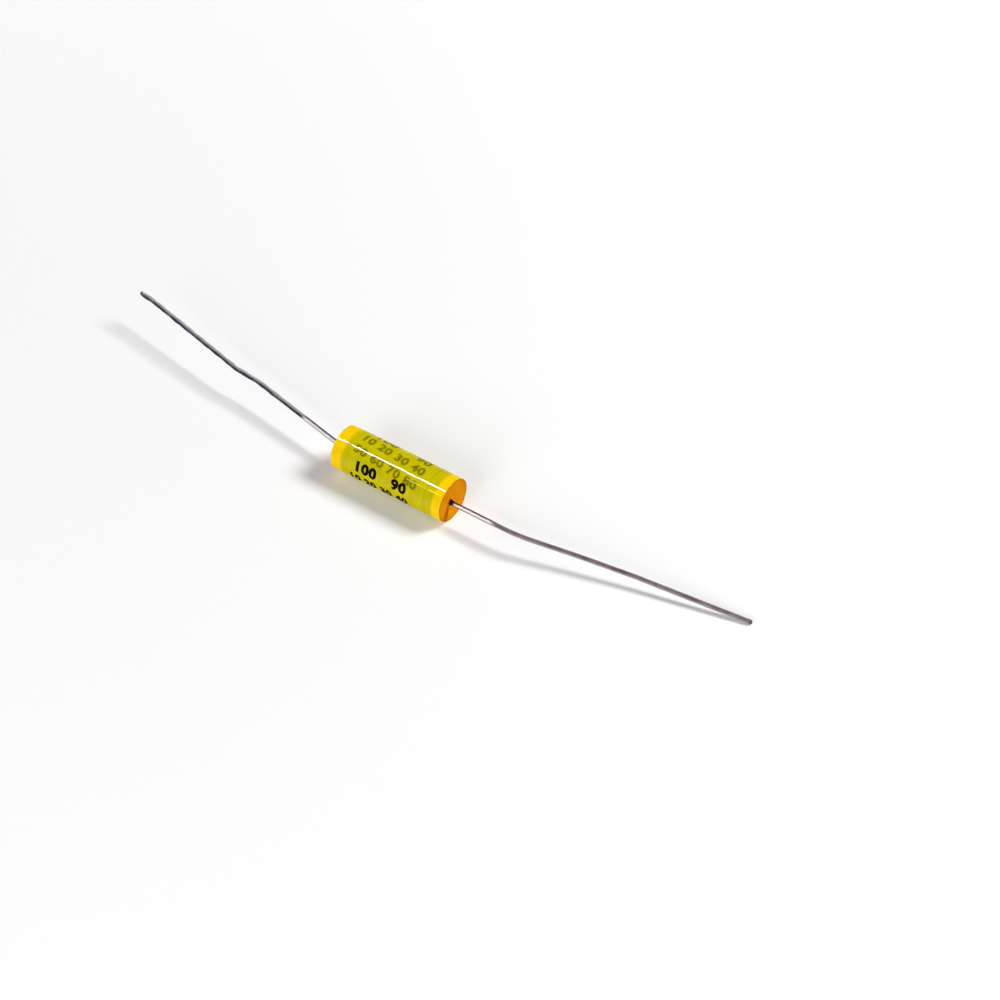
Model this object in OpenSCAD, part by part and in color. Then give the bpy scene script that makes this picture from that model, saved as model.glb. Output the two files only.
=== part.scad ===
// Axial film capacitor: a round film winding in a wrap of polyester tape, with
// resin-filled ends and a tinned wire lead out of each end. It lies on its side, as
// it comes to rest. +X runs along the body from the left lead to the right one, +Y
// points to the far side and +Z is up. The origin is under the middle of the body.

/* [Body] */
// Diameter over the full turns of tape
body_d = 5.6; // [4.6:0.1:9]
// Length of the tape wrap
body_len = 16; // [12:0.5:30]

/* [Tape wrap] */
// Thickness of the tape
tape_t = 0.06; // [0.04:0.01:0.1]
// Full turns of tape below its outer end
tape_turns = 3; // [2:1:6]
// Place of the tape's outer end, in degrees up from the near side
seam_angle = 48; // [0:1:90]

/* [Winding] */
// Diameter of the hole that the winding's mandrel left
core_d = 1.2; // [0.6:0.1:1.8]
// Thickness of the metal sprayed on each end of the winding
spray_t = 0.5; // [0.2:0.05:0.8]

/* [Resin ends] */
// Depth of the resin in each end of the wrap
resin_depth = 1.4; // [1.3:0.1:4]
// Depth of the shallow dish in the resin's face
dish_depth = 0.1; // [0.04:0.02:0.2]
// Width of the flat rim round the dish
rim_w = 0.2; // [0.1:0.05:0.4]
// Height to which the resin climbs the lead
climb_h = 0.3; // [0.1:0.05:0.5]
// Thickness of the resin where it ends on the lead
climb_lip = 0.04; // [0.02:0.01:0.1]

/* [Lead wire] */
// Diameter of the wire
wire_d = 0.6; // [0.4:0.02:0.7]
// Length of each lead along the wire, from the end of the wrap to the tip
lead_len = 38.3; // [32:0.1:60]
// Chamfer on the cut tips
tip_chamfer = 0.1; // [0.04:0.02:0.16]
// Half width of the flat hook that is soldered to the winding's end
hook_half = 1.1; // [1.05:0.05:1.2]
// Radius of the hook's bends, at the middle of the wire
hook_bend_r = 0.5; // [0.4:0.02:0.5]
// Solder under the hook and over its bend
solder_film = 0.05; // [0.03:0.01:0.1]
// Flare of the solder down to the winding's end
solder_flare = 0.3; // [0.1:0.05:0.4]
// Thinning of the wire where it is bent, on its radius
bend_neck = 0.004; // [0.002:0.001:0.01]

/* [Left lead] */
// Straight run out of the resin to the first bend
left_exit = 1.4; // [1.3:0.1:8]
// Run from the first bend to the second
left_run_1 = 14; // [3:0.1:24]
// Run from the second bend to the third
left_run_2 = 3.9; // [3:0.1:14]
// Run from the fourth bend to the tip
left_tip_run = 2.3; // [1:0.1:10]
// Heading to the far side of each run after the first bend, in degrees
left_headings = [10, 3.2, 11.2, 5.6]; // [2:0.1:12]
// Rise of these runs, in degrees
left_pitch = 3; // [0:0.1:8]
// Bend radius at the middle of the wire
left_bend_r = 4; // [3:0.5:6]

/* [Right lead] */
// Distance that the lead leaves the resin off centre, to the near side
right_offset = 0.45; // [0:0.05:0.5]
// Straight run out of the resin to the first bend
right_exit = 9.4; // [4:0.1:15]
// Run from the first bend to the second
right_run_1 = 7.8; // [5:0.1:20]
// Run from the second bend to the third
right_run_2 = 6.8; // [5:0.1:20]
// Heading to the far side of each run after the first bend, in degrees
right_headings = [14, 12.5, 10.3]; // [6:0.1:16]
// Bend radius at the middle of the wire
right_bend_r = 16; // [8:1:20]

/* [Hidden] */
$fn = 64;

LEFT = -1;
RIGHT = 1;

wrap_r = body_d / 2;
winding_r = wrap_r - tape_turns * tape_t;
winding_len = body_len - 2 * (resin_depth + spray_t);
// Height of the axis at which the wrap's lowest line lies on the floor
axis_z = wrap_r + tape_t / 2 * (1 - sin(seam_angle));

wire_r = wire_d / 2;
// Middle of the hook's wire, measured out from the end of the wrap
hook_out = solder_film + wire_r - resin_depth;
hook_reach = sqrt(2) * (hook_half - hook_bend_r) + hook_bend_r + wire_r;
solder_h = 2 * solder_film + wire_r + hook_bend_r;
solder_top_r = hook_reach + solder_film;

dish_r = winding_r - rim_w;
dish_steps = 8;
climb_steps = 6;

// Length by which a bend reaches into the straight runs beside it
bend_lap = 0.03;

// Runs after the first bend, of which the longest takes up the rest of the lead's length
left_run_3 = lead_len - left_exit - left_run_1 - left_run_2 - left_tip_run;
left_runs = [left_run_1, left_run_2, left_run_3, left_tip_run];
right_tip_run = lead_len - right_exit - right_run_1 - right_run_2;
right_runs = [right_run_1, right_run_2, right_tip_run];
// Downward angle at which the right lead's tip lies on the floor
right_pitch = -asin((axis_z - wire_r) / (lead_len - right_exit));

function unit(v) = v / norm(v);

// Points of a lead, as [across to the far side, up, out], from the end of its hook to
// its tip. Each inner point is a corner that bent_wire rounds.
function hook_points(across) = [
    [across - hook_half, -hook_half / 2, hook_out],
    [across - hook_half, hook_half, hook_out],
    [across + hook_half, hook_half, hook_out],
    [across + hook_half, 0, hook_out],
    [across, 0, hook_out]
];
function heading(deg, pitch) = [cos(pitch) * sin(deg), sin(pitch), cos(pitch) * cos(deg)];
function run_points(start, runs, headings, pitch, i = 0) =
    i == len(runs) ? [start]
    : concat([start], run_points(start + runs[i] * heading(headings[i], pitch),
                                 runs, headings, pitch, i + 1));
function lead_points(across, exit, runs, headings, pitch) =
    concat(hook_points(across), run_points([across, 0, exit], runs, headings, pitch));
function lead_bends(runs, bend_r) =
    concat([0, for (corner = [1 : 4]) hook_bend_r], [for (run = runs) bend_r], [0]);

function run_dir(p, i) = unit(p[i + 1] - p[i]);
function turn(p, i) = acos(min(1, run_dir(p, i - 1) * run_dir(p, i)));
// Length that the arc at a corner takes from the runs on both sides of it
function setback(p, bends, i) = bends[i] == 0 ? 0 : bends[i] * tan(turn(p, i) / 2);

// A frame whose axes are x, y and z, at a point
module at_frame(x, y, z, point) {
    multmatrix([[x[0], y[0], z[0], point[0]],
                [x[1], y[1], z[1], point[1]],
                [x[2], y[2], z[2], point[2]],
                [0, 0, 0, 1]])
        children();
}

// Wire along points p with a bend radius at each corner and a chamfer on the last end
module bent_wire(p, bends, r, chamfer) {
    last = len(p) - 1;
    for (i = [0 : last - 1]) {
        along = run_dir(p, i);
        across = unit(cross(along, abs(along[0]) < 0.7 ? [1, 0, 0] : [0, 1, 0]));
        start = p[i] + setback(p, bends, i) * along;
        length = norm(p[i + 1] - start) - setback(p, bends, i + 1);
        straight = i == last - 1 ? length - chamfer : length;
        at_frame(across, cross(along, across), along, start) {
            cylinder(h = straight, r = r);
            if (i == last - 1)
                translate([0, 0, straight]) cylinder(h = chamfer, r1 = r, r2 = r - chamfer);
        }
    }
    for (i = [1 : last - 1]) {
        along = run_dir(p, i - 1);
        inward = unit(run_dir(p, i) - (run_dir(p, i) * along) * along);
        start = p[i] - setback(p, bends, i) * along;
        lap = bend_lap / bends[i] * 180 / PI;
        at_frame(-inward, along, cross(-inward, along), start + bends[i] * inward)
            rotate(-lap) rotate_extrude(angle = turn(p, i) + 2 * lap)
                translate([bends[i], 0]) circle(r = r - bend_neck);
    }
}

// Frame of one end of the body: x to the far side, y up and z out of the end
module at_end(side) {
    mirror([side == LEFT ? 1 : 0, 0, 0])
        translate([body_len / 2, 0, axis_z]) rotate([90, 0, 90]) children();
}

// Section of the wrap as a two-centre spiral, with the tape's outer end on the +x axis
module wrap_section() {
    half = 2 * wrap_r;
    difference() {
        union() {
            intersection() {
                circle(r = wrap_r);
                translate([-half, -half]) square([2 * half, half]);
            }
            intersection() {
                translate([tape_t / 2, 0]) circle(r = wrap_r + tape_t / 2);
                translate([-half, 0]) square([2 * half, half]);
            }
        }
        circle(r = winding_r);
    }
}

module wrap() {
    color([0.93, 0.80, 0.05])
        translate([-body_len / 2, 0, axis_z]) rotate([90, 0, 90])
            linear_extrude(body_len) rotate(180 - seam_angle) wrap_section();
}

module winding() {
    color([0.72, 0.70, 0.20])
        translate([-winding_len / 2, 0, axis_z]) rotate([90, 0, 90])
            linear_extrude(winding_len) difference() {
                circle(r = winding_r);
                circle(d = core_d);
            }
}

module end_spray(side) {
    color([0.62, 0.62, 0.64])
        at_end(side) translate([0, 0, -resin_depth - spray_t]) cylinder(h = spray_t, r = winding_r);
}

module solder_mound(across) {
    translate([across, 0, -resin_depth])
        cylinder(h = solder_h, r1 = solder_top_r + solder_flare, r2 = solder_top_r);
}

// Solder round the hook, with the lead's own form cut out of it
module solder(side, across) {
    color([0.75, 0.75, 0.76]) difference() {
        at_end(side) solder_mound(across);
        lead_stub(side, across);
    }
}

// The lead from its hook to just outside the resin
module lead_stub(side, across) {
    points = concat(hook_points(across), [[across, 0, 2 * climb_h]]);
    at_end(side) bent_wire(points, lead_bends([], 0), wire_r, tip_chamfer);
}

// Resin that climbs the lead in a hollow curve
module climb(across) {
    top_r = wire_r + climb_lip;
    curve = [for (i = [0 : climb_steps])
        let (a = 90 * i / climb_steps)
        [top_r + climb_h * (1 - sin(a)), climb_h * (1 - cos(a))]];
    foot = [[0, climb_h], [0, -dish_depth], [top_r + climb_h, -dish_depth]];
    translate([across, 0, -dish_depth]) rotate_extrude() polygon(concat(foot, curve));
}

// Resin plug with a flat rim and a shallow dish inside it
module dished_plug() {
    dish = [for (i = [0 : dish_steps])
        let (share = 1 - i / dish_steps)
        [dish_r * share, dish_depth * (share * share - 1)]];
    wall = [[0, -resin_depth], [winding_r, -resin_depth], [winding_r, 0]];
    rotate_extrude() polygon(concat(wall, dish));
}

module resin(side, across) {
    color([0.93, 0.55, 0.03]) at_end(side) difference() {
        union() {
            dished_plug();
            climb(across);
        }
        solder_mound(across);
        translate([across, 0, -resin_depth]) cylinder(h = resin_depth + 2 * climb_h, r = wire_r);
    }
}

module lead(side, across, exit, runs, headings, pitch, bend_r) {
    points = lead_points(across, exit, runs, headings, pitch);
    color([0.70, 0.70, 0.72])
        at_end(side) bent_wire(points, lead_bends(runs, bend_r), wire_r, tip_chamfer);
}

module lead_left() {
    lead(LEFT, 0, left_exit, left_runs, left_headings, left_pitch, left_bend_r);
}

module lead_right() {
    lead(RIGHT, -right_offset, right_exit, right_runs, right_headings, right_pitch, right_bend_r);
}

wrap();
winding();
end_spray(LEFT);  // end_spray_left
end_spray(RIGHT);  // end_spray_right
solder(LEFT, 0);  // solder_left
solder(RIGHT, -right_offset);  // solder_right
resin(LEFT, 0);  // resin_left
resin(RIGHT, -right_offset);  // resin_right
lead_left();
lead_right();
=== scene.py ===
"""Looks of an axial film capacitor: tape wrap with printed figures, resin ends and tinned leads.

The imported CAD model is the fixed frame. Lengths in this file are in millimetres and angles in
degrees, unless a name says otherwise. +X runs along the body from the left lead to the right one,
+Y points to the far side and +Z is up. An elevation is an angle up from the near side of the body.
"""

import logging
import math
from collections.abc import Sequence
from dataclasses import dataclass, field
from enum import Enum

import bmesh
import bpy
import numpy as np
from bpy.types import Material, Node, NodeSocket, NodeTree, Object
from mathutils import Matrix, Vector


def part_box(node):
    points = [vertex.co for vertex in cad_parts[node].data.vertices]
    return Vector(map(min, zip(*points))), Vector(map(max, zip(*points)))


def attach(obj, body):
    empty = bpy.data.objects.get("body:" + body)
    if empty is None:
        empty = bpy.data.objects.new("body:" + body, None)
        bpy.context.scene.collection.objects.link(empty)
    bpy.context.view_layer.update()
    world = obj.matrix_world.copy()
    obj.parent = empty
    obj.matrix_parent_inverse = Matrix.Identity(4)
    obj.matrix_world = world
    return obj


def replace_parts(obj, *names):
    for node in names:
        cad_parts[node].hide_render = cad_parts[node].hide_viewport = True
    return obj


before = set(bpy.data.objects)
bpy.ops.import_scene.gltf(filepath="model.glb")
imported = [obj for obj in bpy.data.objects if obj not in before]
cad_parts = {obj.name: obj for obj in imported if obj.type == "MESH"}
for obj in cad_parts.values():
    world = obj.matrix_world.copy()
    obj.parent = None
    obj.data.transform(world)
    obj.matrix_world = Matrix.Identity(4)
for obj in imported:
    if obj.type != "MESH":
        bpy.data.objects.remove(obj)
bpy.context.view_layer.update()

MM = 0.001
ROOT = "root"
LOG = logging.getLogger("film_capacitor")

Pair = tuple[float, float]
Triple = tuple[float, float, float]
Colour = Triple
# Two numbers that say where a band lies, and its strength.
Band = Triple
Array = np.ndarray
Number = float | Array


class Side(Enum):
    """An end of the body, with its direction along the body's axis."""

    LEFT = -1
    RIGHT = 1


class Glow(Enum):
    """What a lamp lights: whole surfaces or their gloss alone."""

    WHOLE = "gloss and colour"
    GLOSS = "gloss alone"


class Ink(Enum):
    """How a row of figures shows on the wrap."""

    OUTER = "printed on the outer turn"
    UNDER = "on a turn below, seen through the tape"


def ease(value: Number, start: Number, end: Number) -> Array:
    """Ease from 0 to 1 as a value goes from start to end."""
    share = np.clip((value - start) / (end - start), 0.0, 1.0)
    return share * share * (3.0 - 2.0 * share)


def within_half_turn(angle: Array) -> Array:
    """Bring an angle to within half a turn of 0."""
    return (angle + 180.0) % 360.0 - 180.0


def off_centre_radius(radius: float, offset: float, turn: Array) -> Array:
    """Distance to a circle from a point off its centre, for a turn in radians from the offset."""
    return offset * np.cos(turn) + np.sqrt(radius**2 - (offset * np.sin(turn)) ** 2)


def ring_faces(rings: int, sides: int, closed: bool = True) -> list[tuple[int, ...]]:
    """Quads between neighbouring rings of points.

    Args:
        rings: Number of rings.
        sides: Number of points in a ring.
        closed: Whether the last ring joins the first.

    Returns:
        The corner numbers of each quad.
    """
    ring, side = np.meshgrid(
        np.arange(rings if closed else rings - 1), np.arange(sides), indexing="ij"
    )
    next_ring, next_side = (ring + 1) % rings, (side + 1) % sides
    corners = (
        ring * sides + side,
        ring * sides + next_side,
        next_ring * sides + next_side,
        next_ring * sides + side,
    )
    return [tuple(quad) for quad in np.stack(corners, axis=-1).reshape(-1, 4).tolist()]


def joined(*parts: Number) -> Array:
    """Join coordinates into points, in the last dimension."""
    return np.stack(np.broadcast_arrays(*parts), axis=-1)


def whole_turn(count: int) -> Array:
    """Evenly spread directions of a whole turn, in radians."""
    return np.linspace(0.0, 2.0 * np.pi, count, endpoint=False)


def add_object(name: str, data: bpy.types.ID) -> Object:
    """Put a mesh, a lamp or the like into the scene.

    Args:
        name: Name of the object.
        data: What the object shows.

    Returns:
        The new object.
    """
    added = bpy.data.objects.new(name, data)
    bpy.context.scene.collection.objects.link(added)
    return added


def add_piece(
    name: str, points: Array, faces: Sequence[Sequence[int]], sharp: float = 40.0
) -> Object:
    """Make a smooth closed mesh that rides on the part's one body.

    Args:
        name: Name of the piece.
        points: Corner points in millimetres, with their coordinates in the last dimension.
        faces: Corner numbers of each face.
        sharp: Angle between faces above which their edge stays sharp.

    Returns:
        The new object, in the frame's place.
    """
    mesh = bpy.data.meshes.new(name)
    mesh.from_pydata((points * MM).reshape(-1, 3).tolist(), [], faces)
    shape = bmesh.new()
    shape.from_mesh(mesh)
    bmesh.ops.recalc_face_normals(shape, faces=shape.faces)
    shape.to_mesh(mesh)
    shape.free()
    mesh.shade_smooth()
    mesh.set_sharp_from_angle(angle=math.radians(sharp))
    piece = add_object(name, mesh)
    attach(piece, ROOT)
    LOG.info("built %s with %d faces", name, len(mesh.polygons))
    return piece


def add_attributes(piece: Object, **values: Array) -> None:
    """Store numbers or vectors at the points of a piece, for its material to read.

    Args:
        piece: Piece that carries the values.
        values: One number or one vector for each point, by the name that the material uses.
    """
    for name, given in values.items():
        single = given.size == len(piece.data.vertices)
        kind, key = ("FLOAT", "value") if single else ("FLOAT_VECTOR", "vector")
        attribute = piece.data.attributes.new(name, kind, "POINT")
        attribute.data.foreach_set(key, given.astype(np.float32).ravel())


@dataclass(frozen=True)
class Pattern:
    """How fine a shared effect is, and how far its shade darkens."""

    scale: float
    amount: float = 0.0


@dataclass(frozen=True)
class Coat:
    """A clear gloss over a colour that has none of its own."""

    weight: float
    roughness: float
    ior: float = 1.5

    def sockets(self) -> dict[str, object]:
        """Values for the shader's sockets, by name."""
        return {"Specular IOR Level": 0.0, "Coat Weight": self.weight,
                "Coat Roughness": self.roughness, "Coat IOR": self.ior}


class NodeSheet:
    """A node tree, with short calls that add nodes and join them."""

    def __init__(self, tree: NodeTree) -> None:
        """Keep the tree that the calls work on."""
        self.tree = tree

    def add(self, kind: str, inputs: dict | None = None, **settings: object) -> Node:
        """Add a node.

        Args:
            kind: Blender's name of the node type.
            inputs: Values or output sockets for the node's inputs, by name or number.
            settings: Properties of the node.

        Returns:
            The new node.
        """
        node = self.tree.nodes.new(kind)
        for name, value in settings.items():
            setattr(node, name, value)
        self.feed(node, inputs or {})
        return node

    def feed(self, node: Node, inputs: dict) -> None:
        """Link a node's inputs or set their values.

        Args:
            node: The node.
            inputs: Values or output sockets for the node's inputs, by name or number.
        """
        for key, value in inputs.items():
            socket = node.inputs[key]
            if isinstance(value, NodeSocket):
                self.tree.links.new(value, socket)
            elif isinstance(value, tuple) and socket.type == "RGBA":
                socket.default_value = (*value, 1.0)
            else:
                socket.default_value = value

    def math(self, operation: str, first: object, second: object = 0.0) -> NodeSocket:
        """Join two numbers by a sum, a product or the like."""
        node = self.add("ShaderNodeMath", {0: first, 1: second}, operation=operation)
        return node.outputs[0]

    def ramp(self, value: object, start: float, end: float) -> NodeSocket:
        """Ease from 0 to 1 as a value goes from start to end."""
        inputs = {"Value": value, "From Min": start, "From Max": end}
        return self.add("ShaderNodeMapRange", inputs, interpolation_type="SMOOTHSTEP").outputs["Result"]

    def span(self, value: object, low: float, high: float) -> NodeSocket:
        """Bring a value from 0 to 1 into the range from low to high."""
        node = self.add("ShaderNodeMapRange", {"Value": value, "To Min": low, "To Max": high})
        return node.outputs["Result"]

    def mix(self, share: object, first: object, second: object, blend: str = "MIX") -> NodeSocket:
        """Mix two colours by a share."""
        # The names of this node's sockets aren't unique, so their numbers stand here.
        inputs = {0: share, 6: first, 7: second}
        return self.add("ShaderNodeMix", inputs, data_type="RGBA", blend_type=blend).outputs[2]

    def shaded(self, colour: object, shade: object) -> NodeSocket:
        """Darken a colour by a factor."""
        return self.mix(1.0, colour, shade, "MULTIPLY")

    def marked(self, colour: object, marks: dict[str, Colour]) -> NodeSocket:
        """Lay marks over a colour, each where the piece stores its strength.

        Args:
            colour: The colour below the marks.
            marks: Colour of each mark, by the name of the stored strength.

        Returns:
            The colour with its marks.
        """
        for name, shown in marks.items():
            colour = self.mix(self.attribute(name), colour, shown)
        return colour

    def bump(self, height: object, depth: float) -> NodeSocket:
        """Normal of a surface that a height from 0 to 1 raises by up to a depth."""
        node = self.add("ShaderNodeBump", {"Height": height, "Distance": depth * MM})
        return node.outputs["Normal"]

    def place(self) -> NodeSocket:
        """Place on the piece, in metres."""
        return self.add("ShaderNodeTexCoord").outputs["Object"]

    def stretched(self, vector: object, scale: Triple) -> NodeSocket:
        """Scale a vector by another factor along each axis."""
        node = self.add("ShaderNodeMapping", {"Vector": vector, "Scale": scale})
        return node.outputs["Vector"]

    def attribute(self, name: str, output: str = "Fac") -> NodeSocket:
        """Read a value that the piece stores at its points."""
        return self.add("ShaderNodeAttribute", attribute_name=name).outputs[output]

    def effect(self, tree: NodeTree, vector: object, pattern: Pattern) -> tuple[NodeSocket, NodeSocket]:
        """Place a shared effect with its own values.

        Args:
            tree: The effect's node group.
            vector: Place that the pattern is read at.
            pattern: How fine the effect is and how far it darkens.

        Returns:
            The effect's shade and its mask.
        """
        inputs = {"Vector": vector, "Scale": pattern.scale, "Amount": pattern.amount}
        outputs = self.add("ShaderNodeGroup", inputs, node_tree=tree).outputs
        return outputs["Shade"], outputs["Mask"]


class MaterialSheet(NodeSheet):
    """The node tree of a new material on one Principled BSDF."""

    def __init__(self, name: str, constants: dict[str, object]) -> None:
        """Start the material.

        Args:
            name: Name of the material.
            constants: Values for the shader's sockets, by name.
        """
        self.material = bpy.data.materials.new(name)
        self.material.use_nodes = True
        super().__init__(self.material.node_tree)
        self.shader = self.tree.nodes["Principled BSDF"]
        self.feed(self.shader, constants)

    def finished(self, inputs: dict[str, object]) -> Material:
        """Feed the shader what changes over the surface, and hand the material over."""
        self.feed(self.shader, inputs)
        return self.material


def give_material(piece: Object, material: Material) -> None:
    """Give a piece, or a CAD node, one material.

    Args:
        piece: The piece.
        material: Its material.
    """
    piece.data.materials.clear()
    piece.data.materials.append(material)
    LOG.info("dressed %s in %s", piece.name, material.name)


@dataclass
class SharedEffects:
    """Node groups that several finishes use."""

    contrast: Pair = (0.3, 0.7)
    mottle: NodeTree = field(init=False)
    streaks: NodeTree = field(init=False)

    def __post_init__(self) -> None:
        """Build both groups once."""
        self.mottle = self.build_noise("mottle", detail=3.0, roughness=0.55)
        self.streaks = self.build_noise("streaks", detail=5.0, roughness=0.7)

    def build_noise(self, name: str, detail: float, roughness: float) -> NodeTree:
        """Build a group that puts out a cloudy mask, and a shade that it darkens by the amount.

        Args:
            name: Name of the group.
            detail: Number of finer layers in the noise.
            roughness: Strength of the finer layers.

        Returns:
            The group, with inputs Vector, Scale and Amount, and outputs Shade and Mask.
        """
        tree = bpy.data.node_groups.new(name, "ShaderNodeTree")
        for direction, kind, sockets in (
            ("INPUT", "NodeSocketVector", ("Vector",)),
            ("INPUT", "NodeSocketFloat", ("Scale", "Amount")),
            ("OUTPUT", "NodeSocketFloat", ("Shade", "Mask")),
        ):
            for socket in sockets:
                tree.interface.new_socket(socket, in_out=direction, socket_type=kind)
        sheet = NodeSheet(tree)
        given = sheet.add("NodeGroupInput").outputs
        noise = sheet.add("ShaderNodeTexNoise", {
            "Vector": given["Vector"],
            "Scale": given["Scale"],
            "Detail": detail,
            "Roughness": roughness,
        })
        mask = sheet.ramp(noise.outputs["Fac"], *self.contrast)
        shade = sheet.math("SUBTRACT", 1.0, sheet.math("MULTIPLY", mask, given["Amount"]))
        sheet.add("NodeGroupOutput", {"Shade": shade, "Mask": mask})
        return tree


@dataclass(frozen=True)
class TapeFinish:
    """Glossy yellow tape: olive over the winding, golden over the resin ends."""

    effects: SharedEffects
    olive: Colour = (0.67, 0.575, 0.001)
    golden: Colour = (1.0, 0.65, 0.001)
    margin: Colour = (0.65, 0.545, 0.001)
    cut_edge: Colour = (0.55, 0.27, 0.001)
    # Painted glow along the cut edge of the tape's outer end.
    lap_line: Colour = (1.0, 0.90, 0.03)
    under_ink: Colour = (0.145, 0.135, 0.001)
    clouds: Pattern = Pattern(420.0, 0.10)
    streaks: Pattern = Pattern(140.0, 0.13)
    streak_stretch: Triple = (22.0, 1.0, 1.0)
    margin_edge: Pair = (5.50, 5.66)
    band_edge: Pair = (6.40, 6.84)
    band_shift: float = 0.135
    band_wander: float = 0.06
    band_shade: float = 0.3
    crease_at: float = 5.60
    crease_width: float = 0.09
    crease_shade: float = 0.66
    roughness: Pair = (0.30, 0.45)
    coat: Coat = Coat(0.10, 0.07, ior=2.0)

    def make(self) -> Material:
        """Build the material.

        Returns:
            The material, for a piece that stores under_print, lap_line and cut_edge.
        """
        sheet = MaterialSheet("yellow_tape", self.coat.sockets())
        place = sheet.place()
        along = sheet.add("ShaderNodeSeparateXYZ", {"Vector": place}).outputs["X"]
        cloudy, clouds = sheet.effect(self.effects.mottle, place, self.clouds)
        stretched = sheet.stretched(place, self.streak_stretch)
        streaky, streaks = sheet.effect(self.effects.streaks, stretched, self.streaks)
        wander = sheet.span(clouds, -self.band_wander * MM, self.band_wander * MM)
        middle = sheet.math("SUBTRACT", along, self.band_shift * MM)
        reach = sheet.math("ADD", sheet.math("ABSOLUTE", middle), wander)
        margin, band = (
            sheet.ramp(reach, start * MM, end * MM) for start, end in (self.margin_edge, self.band_edge)
        )
        colour = sheet.mix(margin, self.olive, self.margin)
        colour = sheet.mix(band, colour, self.golden)
        shaded = sheet.shaded(colour, sheet.math("MULTIPLY", cloudy, streaky))
        colour = sheet.mix(sheet.span(band, 1.0, self.band_shade), colour, shaded)
        crease = sheet.math("ABSOLUTE", sheet.math("SUBTRACT", along, self.crease_at * MM))
        crease = sheet.ramp(crease, 0.0, self.crease_width * MM)
        colour = sheet.shaded(colour, sheet.span(crease, self.crease_shade, 1.0))
        marks = {"under_print": self.under_ink, "lap_line": self.lap_line, "cut_edge": self.cut_edge}
        return sheet.finished({
            "Base Color": sheet.marked(colour, marks),
            "Roughness": sheet.span(streaks, *self.roughness),
            "Coat Weight": sheet.span(sheet.attribute("lap_line"), self.coat.weight, 0.0),
        })


@dataclass(frozen=True)
class InkFinish:
    """Black print, a little thin in places."""

    effects: SharedEffects
    black: Colour = (0.003, 0.002, 0.003)
    thin: Colour = (0.012, 0.009, 0.004)
    patches: Pattern = Pattern(2600.0)
    roughness: Pair = (0.25, 0.45)
    coat: Coat = Coat(0.06, 0.2)

    def make(self) -> Material:
        """Build the material.

        Returns:
            The material.
        """
        sheet = MaterialSheet("black_ink", self.coat.sockets())
        _, patches = sheet.effect(self.effects.mottle, sheet.place(), self.patches)
        return sheet.finished({
            "Base Color": sheet.mix(patches, self.black, self.thin),
            "Roughness": sheet.span(patches, *self.roughness),
        })


@dataclass(frozen=True)
class ResinFinish:
    """Amber casting resin, darker at its rim, round the lead's root and along a fine line down the face.
    """

    effects: SharedEffects
    amber: Colour = (0.78, 0.265, 0.001)
    deep: Colour = (0.70, 0.23, 0.001)
    crease: Colour = (0.60, 0.16, 0.001)
    stain: Colour = (0.012, 0.003, 0.001)
    clouds: Pattern = Pattern(700.0, 0.14)
    grain: Pattern = Pattern(3000.0)
    grain_depth: float = 0.006
    roughness: Pair = (0.38, 0.55)
    coat: Coat = Coat(0.04, 0.3)

    def make(self) -> Material:
        """Build the material.

        Returns:
            The material, for a piece that stores rim, crease and stain.
        """
        sheet = MaterialSheet("amber_resin", self.coat.sockets())
        place = sheet.place()
        cloudy, clouds = sheet.effect(self.effects.mottle, place, self.clouds)
        _, grain = sheet.effect(self.effects.streaks, place, self.grain)
        colour = sheet.mix(sheet.attribute("rim"), self.amber, self.deep)
        marks = {"crease": self.crease, "stain": self.stain}
        return sheet.finished({
            "Base Color": sheet.marked(sheet.shaded(colour, cloudy), marks),
            "Roughness": sheet.span(clouds, *self.roughness),
            "Normal": sheet.bump(grain, self.grain_depth),
        })


@dataclass(frozen=True)
class WireFinish:
    """Tinned copper wire, drawn: bright by the body, partly a painted highlight, and dull further out.
    """

    effects: SharedEffects
    name: str
    # Colours of the painted dark reflections by the body and further out; the far one also darkens the
    # cut tip.
    near_tarnish: Colour
    far_tarnish: Colour
    lower_edge: Colour
    bright: Colour = (1.0, 0.98, 0.96)
    dull: Colour = (0.64, 0.57, 0.55)
    stain: Colour = (0.020, 0.006, 0.004)
    streaks: Pattern = Pattern(2.2, 0.14)
    streak_depth: float = 0.0003
    clouds: Pattern = Pattern(1400.0, 0.14)
    near_shade: float = 0.3
    metallic: float = 0.35
    specular: float = 0.2
    roughness: Pair = (0.31, 0.42)
    cloudy_wear: float = 0.35

    def make(self) -> Material:
        """Build the material.

        Returns:
            The material, for a piece that stores drawn, far, tarnish, lower_edge and root.
        """
        sheet = MaterialSheet(
            self.name, {"Metallic": self.metallic, "Specular IOR Level": self.specular}
        )
        drawn = sheet.attribute("drawn", "Vector")
        streaky, streaks = sheet.effect(self.effects.streaks, drawn, self.streaks)
        cloudy, clouds = sheet.effect(self.effects.mottle, sheet.place(), self.clouds)
        far = sheet.attribute("far")
        # By the body the tin is painted bright, partly its pale tone and partly a painted highlight;
        # further out it is dull.
        colour = sheet.mix(far, self.bright, self.dull)
        shaded = sheet.shaded(colour, sheet.math("MULTIPLY", streaky, cloudy))
        colour = sheet.mix(sheet.span(far, self.near_shade, 1.0), colour, shaded)
        # Painted dark reflections in bands round the wire, and the darker cut tip.
        tarnish = sheet.mix(far, self.near_tarnish, self.far_tarnish)
        spread = sheet.math("MULTIPLY", sheet.attribute("tarnish"), cloudy)
        colour = sheet.mix(spread, colour, tarnish)
        worn = sheet.math("ADD", far, sheet.math("MULTIPLY", clouds, self.cloudy_wear))
        return sheet.finished({
            "Base Color": sheet.marked(colour, {"lower_edge": self.lower_edge, "root": self.stain}),
            "Roughness": sheet.span(worn, *self.roughness),
            "Normal": sheet.bump(streaks, self.streak_depth),
        })


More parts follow.
